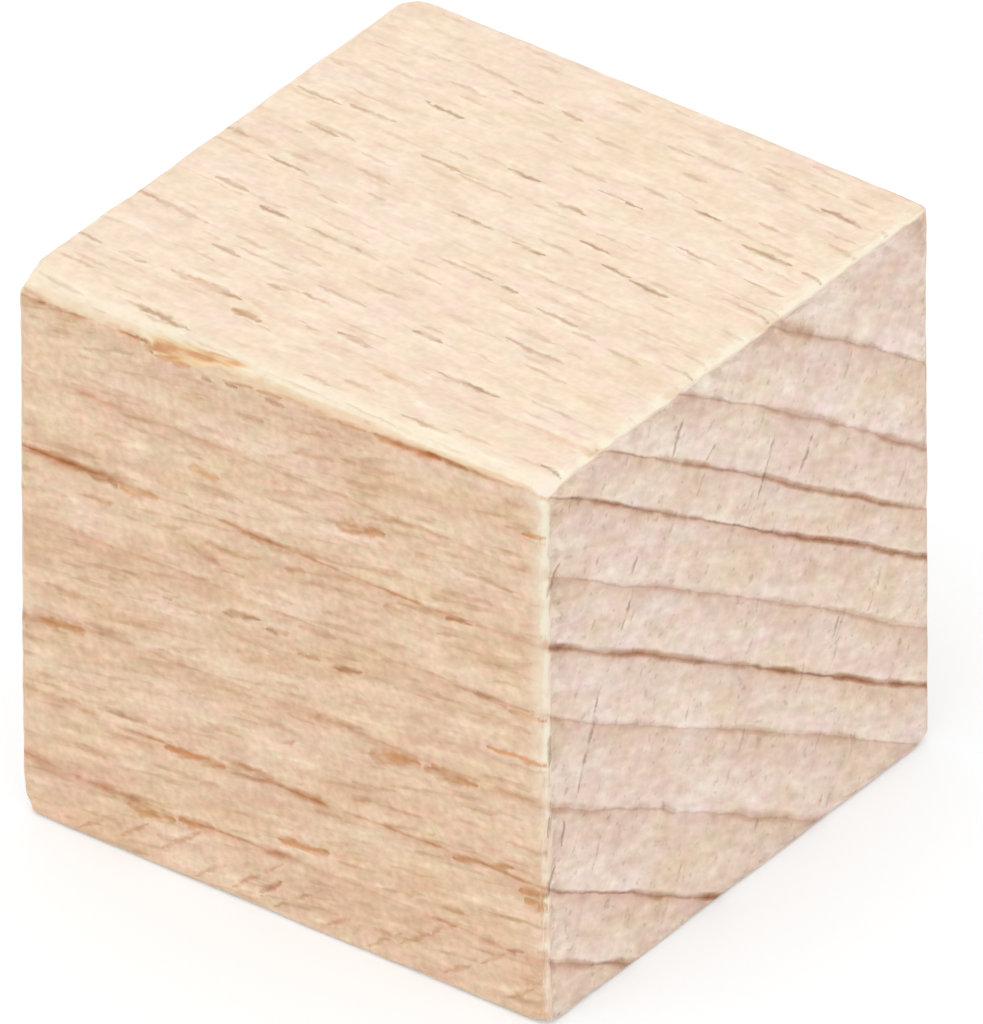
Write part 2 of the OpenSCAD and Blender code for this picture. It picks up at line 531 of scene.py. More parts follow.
def add_stroke(side, middle, half_length, tone):
    """middle and half_length are given across and up the side, in mm from the block's middle or base.
    A stroke drawn the other way round has its pale edge on its other side."""
    axis, _, across, up = SIDES[side]
    centre, reach = np.zeros(3), np.zeros(3)
    centre[axis] = PLANE[side]
    centre[across], centre[up] = middle
    reach[across], reach[up] = half_length
    thickness, strength, warmth = TONES[tone]
    thickness *= random.uniform(0.8, 1.25) * (FRONT_BROADER if side == "front" else 1.0)
    reach *= random.choice((-1, 1))
    strokes.append((side, centre, reach, thickness, strength, warmth))


def add_lines(side, lines, tone):
    """Strokes given by both their ends: across and up the side, twice."""
    for line in lines:
        first, last = np.array(line).reshape(2, 2)
        add_stroke(side, (first + last) / 2, (last - first) / 2, tone)


print(len(TONES), "kinds of stroke")

# %% Strokes on the top
TOP_FLECKS = {  # middle x, middle y, length
    "dark": [
        (8.3, 7.7, 1.7), (4.9, 5.3, 1.1), (-5.2, 5.2, 1.6), (7.7, 4.6, 2.0), (2.2, 4.4, 1.8),
        (-1.0, 3.7, 1.3), (1.3, 3.1, 1.2), (3.2, 1.8, 1.3), (4.5, 1.1, 1.2), (5.9, 0.9, 1.6),
        (-0.7, 0.7, 1.7), (1.6, 0.5, 1.3), (-7.2, -0.2, 1.8), (2.5, -1.7, 0.7), (-5.9, -2.6, 1.3),
        (2.1, -5.3, 1.2), (4.7, -6.7, 2.4), (0.4, -6.8, 1.4), (9.5, -8.9, 0.8), (-5.3, -9.3, 2.6),
    ],
    "plain": [
        (-3.6, 7.3, 1.3), (-1.8, 7.3, 0.9), (9.5, 4.5, 0.8), (-6.9, 3.7, 1.8), (-8.8, 3.5, 1.8),
        (6.0, 3.3, 1.6), (8.7, 3.1, 1.6), (-3.1, 2.7, 2.3), (-7.6, 2.1, 1.4), (8.9, 1.8, 1.8),
        (-9.5, 0.4, 1.1), (0.7, -1.6, 2.2), (-7.9, -2.1, 1.4), (4.6, -2.1, 1.8), (9.3, -2.2, 1.2),
        (-3.2, -2.7, 3.1), (5.2, -4.0, 2.4), (-8.6, -4.2, 2.9), (-5.8, -5.2, 1.2), (-1.9, -5.7, 1.2),
        (-3.3, -5.9, 0.7), (-9.6, -7.1, 1.0), (-7.9, -7.2, 1.1), (4.9, -9.2, 1.8),
    ],
    "faint": [
        (7.0, 8.6, 1.2), (5.4, 7.9, 1.2), (-4.7, 0.9, 1.4), (-3.9, 0.0, 0.7), (-5.0, -1.0, 0.8),
        (7.6, -2.6, 1.4), (0.0, -2.7, 1.3), (-3.5, -5.1, 0.4), (-1.0, -5.1, 0.7), (-9.1, -8.4, 1.4),
        (0.8, -9.2, 1.1),
    ],
    "brown": [(-5.1, -7.1, 2.8), (-3.1, -7.7, 1.2)],
    "tan": [(8.9, -7.4, 3.0), (2.6, -7.7, 2.5), (-2.0, -7.15, 2.8)],
    "amber": [(3.0, -7.75, 1.6)],
    "pale": [(-4.0, -9.6, 3.4)],
}
TOP_SLANT = -0.05  # mean slope of a fleck
TOP_SLANT_SPREAD = 0.03

for tone, places in TOP_FLECKS.items():
    for x, y, length in places:
        slant = random.normal(0, TOP_SLANT_SPREAD) + TOP_SLANT
        add_stroke("top", (x, y), (length / 2, length / 2 * slant), tone)
print(len(strokes), "strokes on the top")

# %% Strokes on the front
FRONT_MARKS = {  # middle x, middle z, length, rise from left to right
    "dark": [
        (-1.95, 19.05, 0.5, 0.0), (-1.6, 10.7, 1.5, 0.25), (-6.7, 13.6, 1.4, 0.1), (6.7, 13.8, 1.2, 0.15),
        (4.6, 7.7, 1.2, 0.3), (-3.2, 4.8, 1.5, 0.1), (-0.5, 1.0, 0.9, 0.8), (-0.2, 10.65, 0.9, 0.15),
        (2.5, 10.3, 1.2, 0.2),
    ],
    "plain": [
        (1.5, 18.6, 0.9, 0.2), (1.0, 10.2, 0.9, 0.1), (10.0, 11.4, 0.5, 0.0), (4.5, 13.3, 1.3, 0.2),
        (0.5, 13.2, 0.8, 0.15), (8.1, 11.4, 3.6, 0.0), (-4.3, 10.3, 0.7, 0.2), (0.2, 6.7, 0.5, 0.3),
        (8.9, 2.4, 0.7, 0.2),
    ],
    "faint": [
        (0.0, 16.2, 1.0, 0.1), (5.3, 15.6, 1.1, 0.1), (-5.4, 9.8, 1.1, 0.3), (7.4, 7.1, 1.3, 0.1),
        (-7.5, 3.3, 1.3, 0.0), (2.5, 3.4, 0.7, 0.1), (-0.5, 13.7, 1.6, 0.0), (5.0, 16.6, 3.0, 0.15),
    ],
    "brown": [
        (3.0, 15.7, 1.9, 0.4), (9.6, 4.8, 1.1, 0.1), (7.7, 5.2, 2.4, 0.5), (6.4, 7.9, 2.2, 0.1),
        (-1.4, 5.1, 2.2, 0.1), (-3.4, 2.2, 1.5, 0.3),
    ],
    "tan": [(-0.7, 9.4, 2.2, 0.1), (-5.8, 4.3, 1.6, 0.2), (2.6, 3.4, 1.4, 0.2), (4.3, 15.5, 1.2, 0.1)],
    "rust": [
        (4.3, 7.7, 2.0, 0.45), (-3.4, 4.7, 2.4, 0.2), (9.7, 4.45, 0.9, 0.0), (0.8, 3.05, 2.0, 0.25),
        (-8.9, 7.5, 2.6, 0.45), (-5.1, 1.95, 1.9, 0.1),
    ],
    "thin rust": [(9.0, 9.65, 2.4, 0.1), (9.3, 11.3, 1.3, 0.1), (9.6, 18.0, 0.9, 0.0)],
    "amber": [(-5.5, 13.7, 1.5, 0.2), (-3.0, 15.4, 1.2, 0.0), (-8.8, 13.7, 2.0, -0.1)],
    "pale": [(8.2, 11.6, 3.8, 0.0), (-2.0, 17.0, 2.6, 0.1), (3.2, 13.0, 1.6, 0.2)],
}
SLANT_SCRATCHES = [  # saw marks near the base: left end x and z, right end x and z
    (-7.9, 0.3, -6.7, 1.2), (-5.0, 0.5, -2.9, 2.2), (-2.0, 0.4, 0.0, 2.1), (4.5, 0.9, 6.7, 2.5),
    (7.6, 1.4, 8.7, 2.3), (-3.4, 0.3, -2.2, 1.1), (-0.4, 0.3, 1.4, 1.6), (1.6, 0.4, 2.6, 1.1),
    (3.2, 0.3, 4.6, 1.3), (6.2, 0.5, 7.2, 1.2), (-6.4, 0.5, -5.2, 1.5), (8.6, 0.5, 9.6, 1.3),
]
for tone, places in FRONT_MARKS.items():
    for x, z, length, rise in places:
        add_stroke("front", (x, z), (length / 2, rise / 2), tone)
add_lines("front", SLANT_SCRATCHES, "scratch")
print(len(strokes), "strokes with the front")

# %% Rays on the right end
END_RAYS = [  # lower end y and z, upper end y and z
    (-8.4, 7.8, -7.1, 11.2), (-6.1, 12.7, -5.4, 13.9), (-9.85, 4.9, -9.55, 5.9), (3.2, 13.6, 3.9, 14.7),
    (1.0, 13.8, 1.9, 15.6), (-1.6, 16.6, -1.2, 17.0), (-3.4, 17.6, -2.8, 18.9), (-9.9, 16.0, -9.2, 16.9),
    (4.9, 6.6, 5.3, 7.2), (-5.5, 14.5, -5.2, 15.0), (-9.2, 6.4, -9.0, 7.3), (-9.8, 9.6, -9.7, 10.8),
    (-9.85, 7.0, -9.8, 7.8),
]
add_lines("right_end", END_RAYS, "ray")
# A tan scuff wraps round the far upper corner.
add_stroke("right_end", (9.5, 19.4), (0.55, 0.20), "tan")
add_stroke("top", (9.9, 9.4), (0.10, 0.60), "tan")
print(len(strokes), "strokes with the right end")

# %% [markdown]
# The sides that face away get strokes of the same kinds, laid out by rule: flecks in staggered
# rows with seeded shifts, and fine rays square to the rings on the left end. A few more faint
# ones go on every side, because real wood always has some that the eye only finds late. The last
# two are specks close under the worn top front arris.

# %% Strokes by rule
ROW_LENGTH = 20.0
RAY_LEAN = 27  # degrees from upright, square to the rings
END_MARGIN = 0.5
BORDER_SPECKS = [(-2.9, 18.90, 0.4), (-0.3, 19.10, 0.8)]  # x, z, length


def scatter_flecks(side, rows, per_row, tones, length, tilt, lean=0.0):
    """Flecks in staggered rows along the grain, each shifted at random. lean is their mean slope."""
    low_up, highlight_high_up = low[SIDES[side][3]], high[SIDES[side][3]]
    for row in range(rows):
        for column in range(per_row):
            shift = 0.5 + 0.5 * (row % 2) + random.uniform(-0.3, 0.3)
            x = low[0] + (column + shift) / per_row * ROW_LENGTH
            up = low_up + (row + 0.5 + random.uniform(-0.35, 0.35)) / rows * (highlight_high_up - low_up)
            half = random.uniform(*length) / 2
            tone = tones[random.integers(len(tones))]
            add_stroke(side, (x, up), (half, half * random.normal(lean, tilt)), tone)


def scatter_rays(side, count, tones):
    """Fine dark lines on an end, square to the rings."""
    for _ in range(count):
        y = random.uniform(low[1] + END_MARGIN, high[1] - END_MARGIN)
        z = random.uniform(low[2] + END_MARGIN, high[2] - END_MARGIN)
        lean = math.radians(random.normal(RAY_LEAN, 3))
        half = np.array([math.sin(lean), math.cos(lean)]) * random.uniform(0.15, 0.5)
        add_stroke(side, (y, z), half, tones[random.integers(len(tones))])


scatter_flecks("base", 13, 5, ["dark", "plain", "plain", "faint"], (0.9, 1.9), 0.04)
scatter_flecks("back", 9, 4, ["plain", "faint", "brown", "rust", "faint"], (0.8, 2.2), 0.12)
scatter_flecks("top", 22, 7, ["fibre", "fibre", "faint", "pale"], (0.7, 2.2), 0.04, -0.04)
scatter_flecks("front", 24, 7, ["fibre", "fibre", "faint", "pale"], (0.7, 2.4), 0.10, 0.13)
scatter_rays("left_end", 50, ["ray", "faint ray", "faint ray"])
scatter_rays("right_end", 44, ["faint ray"])
for x, z, length in BORDER_SPECKS:
    add_stroke("front", (x, z), (length / 2, 0.0), "plain")
print(len(strokes), "strokes in all")

# %% Dirt under the band
BAND_DIRT = [  # from the left end: middle, length, half thickness, strength, warmth
    (0.9, 1.5, 0.10, 0.32, 0.9), (4.2, 1.2, 0.08, 0.35, 0.7), (5.0, 0.8, 0.10, 1.4, 0.3),
    (6.0, 1.4, 0.13, 0.8, 0.8), (8.6, 1.4, 0.07, 0.6, 0.5), (9.7, 1.0, 0.08, 0.7, 0.6),
    (12.6, 1.6, 0.07, 0.6, 0.7), (15.0, 2.6, 0.19, 1.0, 0.75), (16.6, 1.6, 0.09, 0.6, 0.6),
    (18.6, 0.8, 0.06, 0.6, 0.3),
]
UNDER_BORDER = 0.05

for middle, length, *look in BAND_DIRT:
    left_drop, right_drop = listed_drop([middle - length / 2, middle + length / 2])
    height = high[2] - (left_drop + right_drop) / 2 - UNDER_BORDER
    centre = np.array([low[0] + middle, low[1], height])
    reach = np.array([length / 2, 0, (left_drop - right_drop) / 2])
    strokes.append(("front", centre, reach, *look))
print(len(strokes), "strokes with the dirt under the band")

# %% [markdown]
# Each face now looks for the stroke on its own side that comes nearest to it, and carries that
# stroke's middle, reach and tone. The material reads them as attributes.

# %% Give each face its stroke
def nearest_strokes():
    """For each face, the number of the stroke on its own side that comes nearest to it."""
    quad_middle = points[quads].mean(1)
    nearest = np.zeros(len(quads), int)
    best = np.full(len(quads), np.inf)
    for number, (side, middle, reach, thickness, _, _) in enumerate(strokes):
        away = quad_middle - middle
        along = away @ reach / (reach @ reach)
        beside = np.linalg.norm(away - along[:, None] * reach, axis=1)
        beyond = (np.abs(along) - 1).clip(0) * np.linalg.norm(reach)
        distance = np.hypot(beside, beyond) - thickness
        closer = (distance < best) & (quad_side == list(SIDES).index(side))
        best[closer] = distance[closer]
        nearest[closer] = number
    return nearest


nearest = nearest_strokes()
print("strokes that own a face:", len(np.unique(nearest)))

# %% [markdown]
# # The mesh
# The arrays become one mesh. It carries its rings, its wear with the painted highlight of the
# arrises, and its strokes as attributes, and a map that lays the six sides out in three columns
# and two rows, for anyone who bakes the wood to an image.

# %% Build the block
mesh = bpy.data.meshes.new("beech_block")
mesh.from_pydata((points * MM).tolist(), [], quads.tolist())
mesh.shade_smooth()
mesh_values = {
    "ring_number": ring_number,
    "line_strength": line_strength,
    "worn": worn,
    "band_rise": band_rise.clip(-1, 4),
    "knocked": knocked,
    "torn": torn,
    "stroke_middle": np.array([stroke[1] for stroke in strokes])[nearest],
    "stroke_reach": np.array([stroke[2] for stroke in strokes])[nearest],
    "stroke_tone": np.array([stroke[3:] for stroke in strokes])[nearest],
}
for name, values in mesh_values.items():
    domain = "POINT" if len(values) == len(points) else "FACE"
    kind, field = ("FLOAT", "value") if values.ndim == 1 else ("FLOAT_VECTOR", "vector")
    attribute = mesh.attributes.new(name, kind, domain)
    attribute.data.foreach_set(field, values.astype(np.float32).ravel())

block = bpy.data.objects.new("beech_block", mesh)
bpy.context.collection.objects.link(block)
print("the block carries", ", ".join(mesh_values))

# %% Lay out the map
MAP_MARGIN = 0.02
MAP_COLUMNS = 3
MAP_ROWS = 2


def map_place(part, cell, cells):
    """How far along the map each quad's corners lie, where part 2 is across and 3 is up a side."""
    axis = np.array([side[part] for side in SIDES.values()])[quad_side]
    inside = MAP_MARGIN + (1 - 2 * MAP_MARGIN) * ((flat_points - low) / (high - low))
    inside = np.take_along_axis(inside[quads], axis[:, None, None], 2)[..., 0]
    return (inside + cell[:, None]) / cells


map_across = map_place(2, quad_side % MAP_COLUMNS, MAP_COLUMNS)
map_up = map_place(3, quad_side // MAP_COLUMNS, MAP_ROWS)
bake_map = mesh.uv_layers.new(name="OFBake")
bake_map.data.foreach_set("uv", np.stack([map_across, map_up], -1).astype(np.float32).ravel())
print("block of", len(mesh.polygons), "faces, valid:", not mesh.validate())

# %% [markdown]
# # Helpers for the material
# A material is a web of nodes. Placed one by one they take many lines, so a small class adds a
# node, wires or sets its inputs, and returns its output. It works on any tree of nodes, so the
# floor and the world use it too. A formula can then be read from left to right.

# %% Node helper
class Nodes:
    """Builds the nodes of a material or a world."""

    def __init__(self, owner):
        owner.use_nodes = True
        self.tree = owner.node_tree
        self.tree.nodes.clear()

    def add(self, kind, inputs=(), output=0, **settings):
        """Adds a node with its inputs in order or by name. Returns one output, or the node for None."""
        made = self.tree.nodes.new(kind)
        for key, value in settings.items():
            setattr(made, key, value)
        for key, value in inputs.items() if isinstance(inputs, dict) else enumerate(inputs):
            if isinstance(value, bpy.types.NodeSocket):
                self.tree.links.new(value, made.inputs[key])
            else:
                made.inputs[key].default_value = value
        return made if output is None else made.outputs[output]

    def calc(self, operation, *values, clamp=False):
        return self.add("ShaderNodeMath", values, operation=operation, use_clamp=clamp)

    def vector(self, operation, *values, output="Vector"):
        return self.add("ShaderNodeVectorMath", values, output, operation=operation)

    def scaled(self, vector, amount):
        return self.add("ShaderNodeVectorMath", {0: vector, "Scale": amount}, operation="SCALE")

    def step(self, value, start, end, low_value=0.0, high_value=1.0):
        inputs = (value, start, end, low_value, high_value)
        return self.add("ShaderNodeMapRange", inputs, interpolation_type="SMOOTHSTEP")

    def spread(self, value, half_range):
        """A noise's middle values spread out to 0 to 1."""
        return self.add("ShaderNodeMapRange", (value, 0.5 - half_range, 0.5 + half_range))

    def mix(self, amount, first, second, blend="MIX"):
        inputs = {0: amount, 6: first, 7: second}  # the places of a colour mix
        return self.add("ShaderNodeMix", inputs, 2, data_type="RGBA", blend_type=blend)

    def noise(self, position, scale, detail=2.0, roughness=0.5):
        inputs = {"Vector": position, "Scale": scale, "Detail": detail, "Roughness": roughness}
        return self.add("ShaderNodeTexNoise", inputs, "Fac")

    def carried(self, name, output="Fac"):
        return self.add("ShaderNodeAttribute", output=output, attribute_name=name)

    def parts(self, vector):
        return self.add("ShaderNodeSeparateXYZ", [vector], None).outputs[:]

    def turn(self, vector, axis, angle):
        inputs = {"Vector": vector, "Angle": angle}
        return self.add("ShaderNodeVectorRotate", inputs, rotation_type=axis)


def paint(red, green, blue):
    """A colour written as on a colour card, 0 to 255, turned into the linear light that nodes use."""
    card = np.array([red, green, blue]) / 255
    linear = np.where(card <= 0.04045, card / 12.92, ((card + 0.055) / 1.055) ** 2.4)
    return (*linear.tolist(), 1.0)


print("cream paint is", [round(v, 3) for v in paint(246, 224, 200)])

# %% Sums in the wood
beech = bpy.data.materials.new("beech")
wood = Nodes(beech)


def times(first, *others, clamp=False):
    """The product of two or more numbers."""
    for other in others:
        first = wood.calc("MULTIPLY", first, other, clamp=clamp)
    return first


def plus(first, second, clamp=False):
    return wood.calc("ADD", first, second, clamp=clamp)


def minus(first, second, clamp=False):
    return wood.calc("SUBTRACT", first, second, clamp=clamp)


def dot(first, second):
    return wood.vector("DOT_PRODUCT", first, second, output="Value")


def waver(position, scale, detail, roughness=0.5):
    """A noise about 0 that goes up and down by up to a half."""
    return minus(wood.noise(position, scale, detail, roughness), 0.5)


def tinted(colour, tint, *weights):
    """The colour multiplied by a tint, as far as the product of the weights says."""
    return wood.mix(times(*weights), colour, wood.mix(1.0, colour, tint, "MULTIPLY"))


def covered(colour, cover, *weights):
    """The colour covered by another, as far as the product of the weights says."""
    return wood.mix(times(*weights), colour, cover)


print("material", beech.name, "starts with", len(wood.tree.nodes), "nodes")

# %% [markdown]
# # Where a point is, and which way it faces
# The wood is solid: it is the same wood inside and out, so its colour is worked out from the
# place in the block, in millimetres, and not from a flat map. Which way the surface faces
# matters too, because a cut end looks different from a side. The squares of the normal's three
# parts add up to 1, so `by_side` can weigh three numbers with them: one for the ends, one for
# the front and back, one for the top and base. On the sides the place is squeezed along the
# grain, so that patterns come out long, and it leans, because the fibre rises a little towards
# the right. On the ends it is turned with the rings, whose rays it follows.

# %% Place and facing
FIBRE_LEAN = 8  # degrees

coordinates = wood.add("ShaderNodeTexCoord", output=None).outputs
place = wood.scaled(coordinates["Object"], 1 / MM)
place_x, _, place_z = wood.parts(place)
facing = coordinates["Normal"]
facing_squares = wood.vector("MULTIPLY", facing, facing)
faces_end, faces_front, _ = wood.parts(facing_squares)

leaning = wood.turn(place, "Y_AXIS", math.radians(FIBRE_LEAN))
radial = wood.turn(place, "X_AXIS", math.radians(RAY_LEAN))


def by_side(end, front, top):
    """One number for the ends, one for front and back and one for top and base."""
    return dot(facing_squares, (end, front, top))


def patchy(patches, bare, full):
    """The weights `bare` by side where there are no patches, and `full` inside them."""
    return plus(by_side(*bare), times(patches, by_side(*np.subtract(full, bare))))


def fibre_place(squeeze):
    """The place squeezed along the fibre on the sides, and along the rays on the ends."""
    side = wood.vector("MULTIPLY", leaning, (squeeze, 1.0, 1.0))
    end = wood.vector("MULTIPLY", radial, (0.4, 0.40 + 0.25 * squeeze, 1.1))
    return wood.mix(faces_end, side, end)


def long_noise(along, across, detail=2.0, roughness=0.5):
    """A noise with so many waves for each mm along the fibre and across it."""
    stretched = wood.vector("MULTIPLY", leaning, (along, across, across))
    return wood.noise(stretched, 1.0, detail, roughness)


short_place = fibre_place(0.55)
print("nodes so far:", len(wood.tree.nodes))

# %% [markdown]
# # Plain wood
# Three tones stand for the three ways a beech block is cut: warm cream on the top, a deeper
# honey on the front, and a pinkish cream on the ends. Wood is never even, so six noises vary
# them: fine fibre, a mottle about half a millimetre wide, broad clouds, and three that change
# the hue alone, from straw to rose and from green to pink. Each row of the table is one noise.
# The finest ones are nearly grey and the broad ones are warm, as in real wood. On top of them
# come long thin fibres, dark or pale, where one stretched noise is far from its middle value.

# %% Base tone and its variations
TOP_TONE = paint(251, 229, 205)
FRONT_TONE = paint(244, 213, 182)
END_TONE = paint(250, 228, 210)

DEEPER = (0.88, 0.78, 0.71, 1.0)
PALER = (1.09, 1.18, 1.26, 1.0)
GREYER = (0.84, 0.81, 0.78, 1.0)
BRIGHTER = (1.12, 1.14, 1.17, 1.0)
STRAW = (0.99, 1.00, 0.86, 1.0)
ROSE = (1.01, 1.00, 1.13, 1.0)
PINK = (1.03, 0.93, 0.99, 1.0)
GREEN = (0.97, 1.06, 1.00, 1.0)
VARIATIONS = [  # noise for each mm, squeeze, tint where low, tint where high, weight by side
    (4.2, 0.90, GREYER, BRIGHTER, (0.42, 0.70, 0.36)),
    (2.4, 0.40, GREYER, BRIGHTER, (0.72, 0.70, 0.38)),
    (0.9, 0.28, DEEPER, PALER, (0.56, 0.60, 0.20)),
    (0.8, 0.40, STRAW, ROSE, (0.60, 0.45, 0.36)),
    (1.6, 0.60, PINK, GREEN, (0.42, 0.60, 0.36)),
    (3.6, 0.80, PINK, GREEN, (0.40, 0.50, 0.40)),
]
HALF_RANGE = 0.26  # a noise this far from its middle value has its full tint

tone = wood.mix(faces_front, TOP_TONE, FRONT_TONE)
tone = wood.mix(faces_end, tone, END_TONE)
for number, (scale, squeeze, low_tint, high_tint, weights) in enumerate(VARIATIONS):
    shifted = wood.vector("ADD", fibre_place(squeeze), (31.0 * number, 17.0 * number, 5.0))
    amount = wood.spread(wood.noise(shifted, scale, 1.5), HALF_RANGE)
    tone = tinted(tone, wood.mix(amount, low_tint, high_tint), by_side(*weights))
print("nodes so far:", len(wood.tree.nodes))

# %% Long fibres and rays
FIBRE_DARK = (0.84, 0.77, 0.70, 1.0)
FIBRE_PALE = (1.08, 1.12, 1.15, 1.0)

ray_shade = wood.noise(wood.vector("MULTIPLY", radial, (0.4, 2.2, 0.35)), 1.0)
ray_tint = wood.mix(wood.spread(ray_shade, HALF_RANGE), GREYER, BRIGHTER)
tone = tinted(tone, ray_tint, by_side(0.30, 0.0, 0.0))
fibres = long_noise(0.42, 2.8)
fibre_weight = by_side(0.0, 0.95, 0.42)
tone = tinted(tone, FIBRE_DARK, wood.step(fibres, 0.56, 0.72), fibre_weight)
tone = tinted(tone, FIBRE_PALE, wood.step(fibres, 0.44, 0.28), fibre_weight)
print("nodes so far:", len(wood.tree.nodes))

# %% [markdown]
# # Rings in colour
# Just above a ring line the early wood is palest. It slowly turns pinker until the next line,
# and close under that line it is reddish. The line itself is a thin dark stroke that swells into
# a broad brown one for a few millimetres and thins out again. The lines are strong on the ends.
# On the front they are more orange, and on the top, which lies nearly along the rings, a line
# spreads into a faint warm band.

# %% Ring colour
LINE_REACH = 0.0304  # where a thin line has faded out, as a part of a ring
SIDE_LINE = (0.72, 0.50, 0.34, 1.0)
END_LINE_THIN = (0.47, 0.36, 0.32, 1.0)
END_LINE_BROAD = (0.55, 0.38, 0.28, 1.0)
LATE_TONE = (0.93, 0.89, 0.87, 1.0)
EARLY_TONE = (1.04, 1.06, 1.08, 1.0)
RED_TONE = (0.94, 0.80, 0.73, 1.0)
SMUDGE_TONE = (0.70, 0.54, 0.42, 1.0)

shiver = waver(short_place, 1.4, 4.0, 0.65)
ring = wood.calc("FRACT", plus(wood.carried("ring_number"), times(shiver, 0.10)))
from_line = wood.calc("MINIMUM", ring, minus(1.0, ring))

# Where a line is strong, where it is dashed, and where it swells.
patches_place = wood.vector("ADD", wood.scaled(place, 0.45), (7.0, 9.0, 11.0))
patches = wood.step(wood.noise(patches_place, 1.0, 3.0), 0.38, 0.60)
strength_here = wood.carried("line_strength")
line_level = times(strength_here, patchy(patches, (0.62, 0.25, 0.0), (1.0, 1.0, 0.5)))
dashes = wood.step(long_noise(0.8, 2.0, 1.0), 0.38, 0.56)
dash_level = patchy(dashes, (0.8, 0.35, 0.42), (1.0, 1.0, 1.0))
broad = wood.step(wood.noise(place, 0.33), 0.42, 0.62)
swelling = plus(1.0, times(broad, by_side(1.2, 0.7, 1.2)))
line_end = times(swelling, by_side(1.25, 1.3, 4.0), LINE_REACH)
line = times(wood.step(from_line, line_end, 0.0), dash_level, line_level, by_side(1.0, 1.0, 0.3))

late, early = wood.step(ring, 0.40, 1.0), wood.step(ring, 0.34, 0.03)
red, smudge = wood.step(ring, 0.84, 0.99), wood.step(from_line, 0.10, 0.04)
tone = tinted(tone, LATE_TONE, late, by_side(1.0, 0.45, 0.15))
tone = tinted(tone, EARLY_TONE, early, by_side(1.0, 0.5, 0.15))
tone = tinted(tone, RED_TONE, red, line_level, by_side(0.8, 0.6, 0.12))
tone = tinted(tone, SMUDGE_TONE, smudge, line_level, broad, by_side(0.85, 0.6, 0.15))
end_line = wood.mix(broad, END_LINE_THIN, END_LINE_BROAD)
tone = tinted(tone, wood.mix(faces_end, SIDE_LINE, end_line), line)
print("nodes so far:", len(wood.tree.nodes))

# %% [markdown]
# # Pores and painted glints on the end
# A sawn end is cut straight through the fibres, so it is full of tiny dark pores, and it shows
# tiny glints. One fine noise makes both: its low places are pores and its high places are pale
# specks, painted glints. They only show where the surface faces along the grain.

# %% Pores and painted glints
PORE_TONE = (0.78, 0.75, 0.75, 1.0)
GLINT_TONE = (1.06, 1.10, 1.13, 1.0)

pore_noise = wood.noise(radial, 3.4, 1.0)
pores = times(wood.step(pore_noise, 0.36, 0.24), faces_end)
glints = times(wood.step(pore_noise, 0.64, 0.76), faces_end)
tone = tinted(tone, PORE_TONE, pores, 0.75)
# The pale specks are painted glints.
tone = tinted(tone, GLINT_TONE, glints, 0.8)
print("nodes so far:", len(wood.tree.nodes))

# %% [markdown]
# # Worn edges in colour, with painted highlights and shade
# Rubbed edges are paler than the faces, partly because their pores are closed and clean and
# partly as a painted highlight. They stay dark where a ring line crosses them and along the
# base, where the block stands. Close to the right end the front and the top get a painted
# highlight, most of all high up. The top front band is cream along the old sharp edge, partly
# wear and partly a painted highlight. Below that edge it is clean towards the left and tan
# towards the right, and the torn splinter in it is amber with a paler border that is partly a
# painted highlight. Just beside the rubbed arrises the ends get a thin painted shade.

# %% Arrises
# The pale arris tone: partly wear, partly a painted highlight.
ARRIS_WEAR_AND_HIGHLIGHT_TONE = paint(255, 245, 221)
NICK_TONE = (0.82, 0.60, 0.48, 1.0)
ARRIS_SHADE_TONE = (0.80, 0.76, 0.74, 1.0)

edge_noise = waver(short_place, 2.2, 3.0)
wear_and_highlight_noise = waver(place, 1.5, 3.0)
fine_noise = waver(short_place, 6.0, 1.0)
above_base = wood.step(place_z, 0.3, 1.0)

# A painted highlight: the front and top are painted paler close to the right end, most of all high up.
highlight_near_right = wood.step(place_x, 9.2, 10.0)
highlight_high_up = wood.step(place_z, 5.0, 12.0)
tone = covered(tone, ARRIS_WEAR_AND_HIGHLIGHT_TONE, highlight_near_right, highlight_high_up, by_side(0.0, 0.50, 0.35))

# The arrises are painted pale: partly wear, partly a painted highlight.
worn_here = wood.carried("worn")
uneven_wear_and_highlight = plus(worn_here, times(wear_and_highlight_noise, 1.5))
arris = times(wood.step(uneven_wear_and_highlight, 0.12, 0.72), wood.step(worn_here, 0.0, 0.15), above_base)
tone = covered(tone, ARRIS_WEAR_AND_HIGHLIGHT_TONE, arris, plus(0.95, times(wear_and_highlight_noise, 1.8), clamp=True))

# A painted shade: the ends are darkened in a thin line just beside each rubbed arris.
beside_arris = times(wood.step(worn_here, 0.0, 0.03), wood.step(worn_here, 0.25, 0.08))
shade_beside_arris = times(beside_arris, faces_end, wood.step(edge_noise, -0.06, 0.08))
tone = tinted(tone, ARRIS_SHADE_TONE, shade_beside_arris, 0.8)
tone = tinted(tone, NICK_TONE, wood.step(from_line, 0.13, 0.03), strength_here, arris)
print("nodes so far:", len(wood.tree.nodes))

# %% Band, splinter and knocked corners
BAND_CLEAN_TONE = paint(246, 224, 193)
BAND_DIRTY_TONE = paint(241, 212, 175)
BAND_WEAR_AND_HIGHLIGHT_TONE = paint(255, 243, 219)
KNOCKED_TONE = paint(255, 241, 224)
TEAR_DEEP_TONE = paint(214, 154, 112)
TEAR_TONE = paint(236, 184, 138)
TEAR_RIM_AND_HIGHLIGHT_TONE = paint(250, 220, 172)

rise = plus(wood.carried("band_rise"), times(edge_noise, 0.5))
band = times(wood.step(rise, -0.03, 0.10), wood.step(rise, 1.6, 0.85))
along_block = plus(place_x, times(edge_noise, 6.0))
low_band_tone = wood.mix(wood.step(along_block, -5.0, 1.0), BAND_CLEAN_TONE, BAND_DIRTY_TONE)
